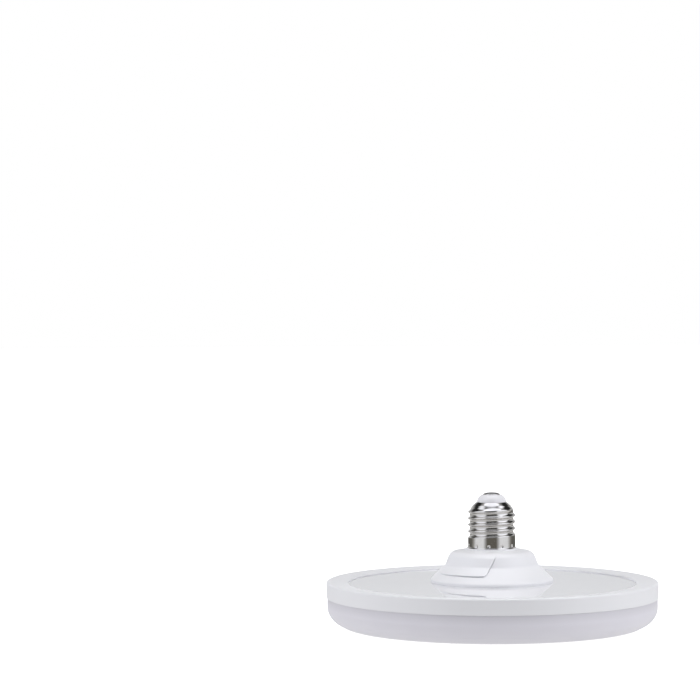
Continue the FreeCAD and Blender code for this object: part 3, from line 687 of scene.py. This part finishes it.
def cutGap(bm, p):
    # a narrow gap along each leaf's slanted edge
    low, high = p["lip"] + p["corner"] * p["gapFoot"], p["fadeHigh"] - p["gapTop"]
    gapStart, gapEnd = p["crease"] - p["gapBack"], p["gapWidth"]
    edgePoint, away = leafEdge(p)

    def nearEdge(co, front):
        return (co.dot(front) > p["gapFront"] * mm and co.xy.length > p["gapInside"] * mm
                and low - p["gapMargin"] < co.z / mm < high + p["gapMargin"])

    for k in range(p["count"]):
        turn = Matrix.Rotation(2 * pi * k / p["count"], 3, "Z")
        side, point, front = turn @ away, turn @ edgePoint, turn @ Vector((0, -1, 0))
        for offset in (-p["gapBack"], gapStart, gapEnd, gapEnd + p["crease"]):
            faces = [f for f in bm.faces if nearEdge(f.calc_center_median(), front)]
            geom = {g for f in faces for g in list(f.verts) + list(f.edges)} | set(faces)
            slicePlane(bm, point + side * offset * mm, side, list(geom))
        for v in bm.verts:
            if not nearEdge(v.co, front) or v.co.xy.length < p["gapWall"] * mm:
                continue
            if not gapStart - p["near"] < (v.co - point).dot(side) / mm < gapEnd + p["near"]:
                continue
            height = v.co.z / mm
            depth = p["gapDepth"] * smoothStep(low, low + p["gapRise"], height)
            depth *= 1 - smoothStep(high - p["gapFade"], high, height)
            setRadius(v, v.co.xy.length - depth * mm)


neckShape = neckBody(neckSize)
leafShape = petalLeaf(neckShape, neckSize, petalSize)
cutSlot(neckShape, petalSize)
cutGap(neckShape, petalSize)
for k in range(petalSize["count"]):
    turned = leafShape.copy()
    turnAbout(turned, 2 * pi * k / petalSize["count"])
    joinInto(neckShape, turned)
leafShape.free()
addBosses(neckShape, neckSize)
finishPiece("neckHousing", neckShape, satinAbs, "neck_housing")


# screw shell: a drawn cap with a right-hand rolled thread, a punched skirt and a flared foot

shellSize = {
    "foot": 43.5, "top": 69.1, "rise": 0.2, "steps": 240, "near": 0.01,
    "crest": 13.15, "root": 12.05, "pitch": 3.629, "crestArc": 0.7, "rootArc": 1.346,
    "topCrest": 63.6, "turns": 4, "threadPhase": 90.0,
    "threadStart": (-0.5, -0.28), "threadEnd": (-0.2, 0.42),        # turns over which the thread fades
    "dome": [(12.05, 62.6), (12.0, 63.8), (11.75, 65.0), (11.4, 65.8), (10.9, 66.6), (10.2, 67.4), (9.5, 68.1),
             (8.8, 68.7), (8.2, 69.1)],
    "inside": [(8.2, 69.05), (8.8, 68.35), (10.55, 67.3), (11.55, 65.0), (11.55, 48.3), (12.65, 48.3),
               (12.65, 43.5)],
    "flare": 0.4, "flareHeight": 0.6,
    "dents": 11, "dentHeight": 45.0, "dentDepth": 0.5, "dentRadius": 1.0, "firstDent": -7.1,
}


def knuckle(phase, s):
    # 1 at a crest, 0 at a root: a tight arc over the crest meets a wide one in the root
    depth = s["crest"] - s["root"]
    across = abs(phase) * s["pitch"]
    if across <= s["pitch"] / 2 * s["crestArc"] / (s["crestArc"] + s["rootArc"]):
        return 1 - (s["crestArc"] - sqrt(s["crestArc"] ** 2 - across ** 2)) / depth
    across = s["pitch"] / 2 - across
    return (s["rootArc"] - sqrt(s["rootArc"] ** 2 - across ** 2)) / depth


def domeRadius(height, s):
    # the drawn dome above the thread
    stations = s["dome"]
    if height <= stations[0][1]:
        return s["root"]
    for (r0, z0), (r1, z1) in zip(stations, stations[1:]):
        if height <= z1:
            return r0 + (r1 - r0) * (height - z0) / (z1 - z0)
    return stations[-1][0]


def shellRadius(azimuth, height, s):
    climb = (height - s["topCrest"]) / s["pitch"] - (azimuth + s["threadPhase"]) / 360
    crest = round(climb)
    along = crest + azimuth / 360               # turns along the nearest crest
    groove = floor(climb) + azimuth / 360       # and along the nearest groove
    startLow, startHigh = s["threadStart"]
    startFade = smoothStep(startLow - s["turns"], startHigh - s["turns"], groove)
    ridge = 1 - (1 - knuckle(climb - crest, s)) * startFade
    ridge *= 1 - smoothStep(*s["threadEnd"], along)
    radius = domeRadius(height, s) + (s["crest"] - s["root"]) * ridge
    flareTop = s["foot"] + s["flareHeight"]
    if height < flareTop:
        radius += s["flare"] * min(1.0, (flareTop - height) / (s["flareHeight"] * 2 / 3))
    for k in range(s["dents"]):
        gap = halfTurn(azimuth - s["firstDent"] - 360 * k / s["dents"])
        away = (gap * pi / 180 * s["crest"]) ** 2 + (height - s["dentHeight"]) ** 2
        if away < s["dentRadius"] ** 2:
            radius -= s["dentDepth"] * (1 - smoothStep(0, s["dentRadius"], sqrt(away)))
    return radius


def screwShell(s):
    # the outer wall is cut into fine rings, spun, and then pressed into the thread
    rings = int((s["top"] - s["foot"]) / s["rise"]) + 1
    wall = [(s["crest"], s["foot"] + s["rise"] * k) for k in range(rings)]
    bm = turnProfile(wall + s["inside"], s["steps"])
    for v in bm.verts:
        if abs(v.co.xy.length / mm - s["crest"]) <= s["near"]:
            setRadius(v, shellRadius(azimuthOf(v.co), v.co.z / mm, s) * mm)
    bmesh.ops.recalc_face_normals(bm, faces=bm.faces)
    return bm


finishPiece("screwShell", screwShell(shellSize), brightNickel, "screw_shell", sharp=50)


# cap insulator and centre contact

noseSize = {
    "hole": 1.55, "low": 61.75, "fill": 11.5, "fillTop": 65.0, "land": 10.4, "landHeight": 66.6,
    "neck": 8.15, "neckLow": 67.9, "neckTop": 69.8, "neckRound": 0.9, "bulge": 7.25, "bulgeHeight": 71.75,
    "bulgeRound": 0.8, "top": 73.1, "topRadius": 5.5, "topRound": 0.7, "steps": 128,
}
contactSize = {
    "pin": 1.5, "tail": 60.55, "seat": 73.1, "radius": 4.7, "rim": 73.2, "domeTop": 74.35, "rings": 8, "steps": 96,
}


def insulatorNose(s):
    bm = turnProfile([
        (s["hole"], s["low"]), (s["fill"], s["low"]), (s["fill"], s["fillTop"]), (s["land"], s["landHeight"]),
        (s["neck"], s["neckLow"]), (s["neck"], s["neckTop"]), (s["bulge"], s["bulgeHeight"]),
        (s["topRadius"], s["top"]), (s["hole"], s["top"]),
    ], s["steps"])
    roundRing(bm, s["neck"], s["neckTop"], s["neckRound"], segments=5)
    roundRing(bm, s["bulge"], s["bulgeHeight"], s["bulgeRound"], segments=5)
    roundRing(bm, s["topRadius"], s["top"], s["topRound"], segments=5)
    return bm


def contactDisc(s):
    # a pin with a shallow solder dome
    angles = [pi / 2 * k / s["rings"] for k in range(s["rings"] + 1)]
    dome = [(s["radius"] * cos(a), s["rim"] + (s["domeTop"] - s["rim"]) * sin(a)) for a in angles]
    pin = [(0, s["tail"]), (s["pin"], s["tail"]), (s["pin"], s["seat"]), (s["radius"], s["seat"])]
    return turnProfile(pin + dome, s["steps"], closed=False)


finishPiece("capInsulator", insulatorNose(noseSize), whitePbt, "cap_insulator")
finishPiece("centreContact", contactDisc(contactSize), tinSolder, "centre_contact")


# studio: a white floor, softboxes at the sides, overhead and below, and a dim room

studioSize = {
    "camera": (0.0, -1.33055, 0.16563), "yaw": 3.378, "pitch": -0.507, "roll": -0.257, "lens": 122.8,
    "sensor": 36.0, "floorHole": 82.3, "floorReach": 20000, "floorSteps": 96,
    "floorColour": "f4f4f4", "floorRoughness": 0.9, "tableColour": "dddddd", "bounce": 1.04,
    "tableEnd": (0.2, 0.36), "tableBearing": (-0.9, -0.7), "tableFade": 0.75,       # metres in front and elsewhere
    "roomDim": 0.03, "roomPale": 0.72,
}
# the ground past the table, by bearing: 0 is in front, 0.5 at the sides and 1 behind
groundStops = [(0.035, "6c6963"), (0.125, "f7f9ff"), (0.42, "f7f9ff"), (0.6, "959390"), (0.72, "696865")]
# how parts of the room come in along X, Y, Z or to either side: from, to, and the levels there
roomBands = {
    "behind": ("Y", 0.1, 0.6, 0.0, 1.0), "low": ("Z", 0.5, 0.25, 0.0, 1.0),    # the backdrop
    "aside": ("side", 0.4, 0.55, 0.0, 1.0), "reach": ("Z", 0.46, 0.36, 0.0, 1.0),    # the side reflectors
    "front": ("Y", 0.2, 0.0, 0.0, 1.0),
    "bright": ("Z", 0.2, 0.35, 0.85, 1.4), "rightward": ("X", -0.4, 0.4, 1.0, 1.22),    # their glow in the metal
    "above": ("Z", 0.88, 0.92, 0.0, 1.55),    # the overhead panel
    "ceiling": ("Z", 0.76, 0.86, 0.0, 0.4), "rear": ("Y", 0.05, 0.2, 0.0, 1.0),
    "horizon": ("Z", 0.3, 0.18, 0.0, 0.3),
}
# place, aim, width, height and radiance
softboxes = {
    "leftBox": ((-1.1, -0.4, 0.36), (0, 0, 0.2), 1.3, 0.6, 1.7),
    "rightBox": ((1.1, -0.4, 0.36), (0, 0, 0.2), 1.3, 0.6, 2.1),
    "topBox": ((0.0, -0.1, 1.05), (0, -0.1, 0.04), 1.25, 1.2, 2.2),
    "lowLeftBox": ((-0.3, 0.07, -0.24), (0, 0, 0), 0.4, 0.4, 1.8),
    "lowRightBox": ((0.3, 0.07, -0.24), (0, 0, 0), 0.4, 0.4, 1.8),
}
lowTint = hexColour("fefff0")[:3]


def aimCamera(s):
    data = bpy.data.cameras.new("studioCamera")
    data.lens = s["lens"]
    data.sensor_width = s["sensor"]
    camera = bpy.data.objects.new("studioCamera", data)
    camera.location = s["camera"]
    # it looks past the lamp, which the photograph has low on the right
    turn = (Matrix.Rotation(radians(s["yaw"]), 3, "Z") @ Matrix.Rotation(radians(90 + s["pitch"]), 3, "X")
            @ Matrix.Rotation(radians(s["roll"]), 3, "Z"))
    camera.rotation_euler = turn.to_euler()
    bpy.context.collection.objects.link(camera)
    bpy.context.scene.camera = camera


def softbox(name, place, look, width, height, radiance):
    data = bpy.data.lights.new(name, "AREA")
    data.shape = "RECTANGLE"
    data.size = width
    data.size_y = height
    data.energy = radiance * pi * width * height
    lamp = bpy.data.objects.new(name, data)
    lamp.location = place
    lamp.rotation_euler = (Vector(look) - Vector(place)).to_track_quat("-Z", "Y").to_euler()
    bpy.context.collection.objects.link(lamp)
    return lamp


def studioRoom(s, bands):
    world = bpy.data.worlds.new("studioRoom")
    bpy.context.scene.world = world
    world.use_nodes = True
    tree = world.node_tree
    tree.nodes.clear()
    parts = addNode(tree, "SeparateXYZ", {0: addNode(tree, "TexCoord").outputs["Generated"]})
    ways = {axis: parts.outputs[axis] for axis in "XYZ"}
    ways["side"] = addNode(tree, "Math", {0: ways["X"]}, operation="ABSOLUTE").outputs[0]
    band = {}
    for name, (way, start, end, first, last) in bands.items():
        band[name] = addNode(tree, "MapRange", {"Value": ways[way], "From Min": start, "From Max": end,
                                                "To Min": first, "To Max": last}).outputs["Result"]
    path = addNode(tree, "LightPath")
    mirrored = path.outputs["Is Glossy Ray"]
    # a pale backdrop low down behind the lamp, in an otherwise dim room
    drop = addNode(tree, "Math", {0: band["behind"], 1: band["low"]}, operation="MULTIPLY").outputs[0]
    level = addNode(tree, "MapRange", {"Value": drop, "To Min": s["roomDim"],
                                       "To Max": s["roomPale"]}).outputs["Result"]
    # what shines mirrors an overhead panel as well, and a grey ceiling behind the lamp
    level = addNode(tree, "Math", {0: band["above"], 1: mirrored, 2: level}, operation="MULTIPLY_ADD").outputs[0]
    grey = addNode(tree, "Math", {0: band["ceiling"], 1: band["rear"]}, operation="MULTIPLY").outputs[0]
    level = addNode(tree, "Math", {0: grey, 1: mirrored, 2: level}, operation="MULTIPLY_ADD").outputs[0]
    # pale reflectors at both sides, as high as the softboxes; in the metal they go right up, and one is brighter
    tall = addNode(tree, "Math", {0: band["reach"], 1: mirrored}, operation="MAXIMUM").outputs[0]
    panel = addNode(tree, "Math", {0: band["aside"], 1: tall}, operation="MULTIPLY").outputs[0]
    panel = addNode(tree, "Math", {0: panel, 1: band["front"]}, operation="MULTIPLY").outputs[0]
    bright = addNode(tree, "Math", {0: band["bright"], 1: band["rightward"]}, operation="MULTIPLY").outputs[0]
    glow = addNode(tree, "Mix", {0: mirrored, 2: 1.0, 3: bright}).outputs[0]
    level = addNode(tree, "Math", {0: panel, 1: glow, 2: level}, operation="MULTIPLY_ADD").outputs[0]
    # and a paler horizon, which the plate mirrors when it is seen from behind
    horizon = addNode(tree, "Math", {0: band["horizon"], 1: mirrored}, operation="MULTIPLY").outputs[0]
    level = addNode(tree, "Math", {0: level, 1: horizon}, operation="MAXIMUM").outputs[0]
    # the panels are a little colder than the rest
    cold = addNode(tree, "Math", {0: band["above"], 1: panel}, operation="MAXIMUM").outputs[0]
    tint = addNode(tree, "Mix", {0: cold, 6: hexColour("fbfcff"), 7: hexColour("f1f4ff")}, data_type="RGBA")
    room = addNode(tree, "Background", {"Color": tint.outputs[2], "Strength": level})
    seen = addNode(tree, "Background", {"Color": hexColour("ffffff"), "Strength": 1.0})
    both = addNode(tree, "MixShader", {0: path.outputs["Is Camera Ray"], 1: room.outputs[0], 2: seen.outputs[0]})
    addNode(tree, "OutputWorld", {"Surface": both.outputs[0]})


def whitePaper(s):
    # a sheet that the camera sees as plain white; the lamp sees a pale table in a darker room
    material, tree, shader, place = newMaterial("whitePaper")
    setInputs(tree, shader, {"Base Color": hexColour(s["floorColour"]), "Roughness": s["floorRoughness"],
                             "Emission Color": hexColour("ffffff"), "Emission Strength": 1.0})
    reach = addNode(tree, "VectorMath", {0: place}, operation="LENGTH").outputs["Value"]
    forward = addNode(tree, "SeparateXYZ", {0: place}).outputs["Y"]
    bearing = addNode(tree, "Math", {0: forward, 1: reach}, operation="DIVIDE").outputs[0]
    # past the table dark ground lies in front and behind, and pale ground at the sides
    share = addNode(tree, "MapRange", {"Value": bearing, "From Min": -1.0, "From Max": 1.0}).outputs["Result"]
    ground = addNode(tree, "ValToRGB", {"Fac": share})
    stops = ground.color_ramp.elements
    for k, (position, colour) in enumerate(groundStops):
        stop = stops[k] if k < len(stops) else stops.new(position)
        stop.position = position
        stop.color = hexColour(colour)
    nearEnd, farEnd = s["tableEnd"]
    bearingLow, bearingHigh = s["tableBearing"]
    tableEnd = addNode(tree, "MapRange", {"Value": bearing, "From Min": bearingLow, "From Max": bearingHigh,
                                          "To Min": nearEnd, "To Max": farEnd}).outputs["Result"]
    ratio = addNode(tree, "Math", {0: reach, 1: tableEnd}, operation="DIVIDE").outputs[0]
    edge = addNode(tree, "MapRange", {"Value": ratio, "From Min": s["tableFade"], "From Max": 1.0})
    table = addNode(tree, "Mix", {0: edge.outputs["Result"], 6: hexColour(s["tableColour"]),
                                  7: ground.outputs["Color"]}, data_type="RGBA")
    bounce = addNode(tree, "Emission", {"Color": table.outputs[2], "Strength": s["bounce"]})
    toCamera = addNode(tree, "LightPath").outputs["Is Camera Ray"]
    paper = addNode(tree, "MixShader", {0: toCamera, 1: bounce.outputs[0], 2: shader.outputs[0]})
    # seen from below the paper lets the view through
    below = addNode(tree, "NewGeometry").outputs["Backfacing"]
    clear = addNode(tree, "BsdfTransparent")
    both = addNode(tree, "MixShader", {0: below, 1: paper.outputs[0], 2: clear.outputs[0]})
    setInputs(tree, tree.nodes["Material Output"], {"Surface": both.outputs[0]})
    return material


def studioFloor(s):
    # open under the lamp, where nothing else shows it, so that its face is lit when it is seen from below
    bm = turnProfile([(s["floorHole"], 0), (s["floorReach"], 0)], s["floorSteps"], closed=False)
    if sum(f.normal.z for f in bm.faces) < 0:
        bmesh.ops.reverse_faces(bm, faces=bm.faces)
    mesh = bpy.data.meshes.new("studioFloor")
    bm.to_mesh(mesh)
    bm.free()
    mesh.materials.append(whitePaper(s))
    sheet = bpy.data.objects.new("studioFloor", mesh)
    bpy.context.collection.objects.link(sheet)


aimCamera(studioSize)
studioRoom(studioSize, roomBands)
studioFloor(studioSize)
for name, settings in softboxes.items():
    box = softbox(name, *settings)
    if box.location.z > 0:
        box.visible_glossy = False      # the reflectors show in the metal instead
    else:
        box.data.color = lowTint        # under the floor, for the face alone
bpy.context.scene.view_settings.view_transform = "Standard"
print("studio set")
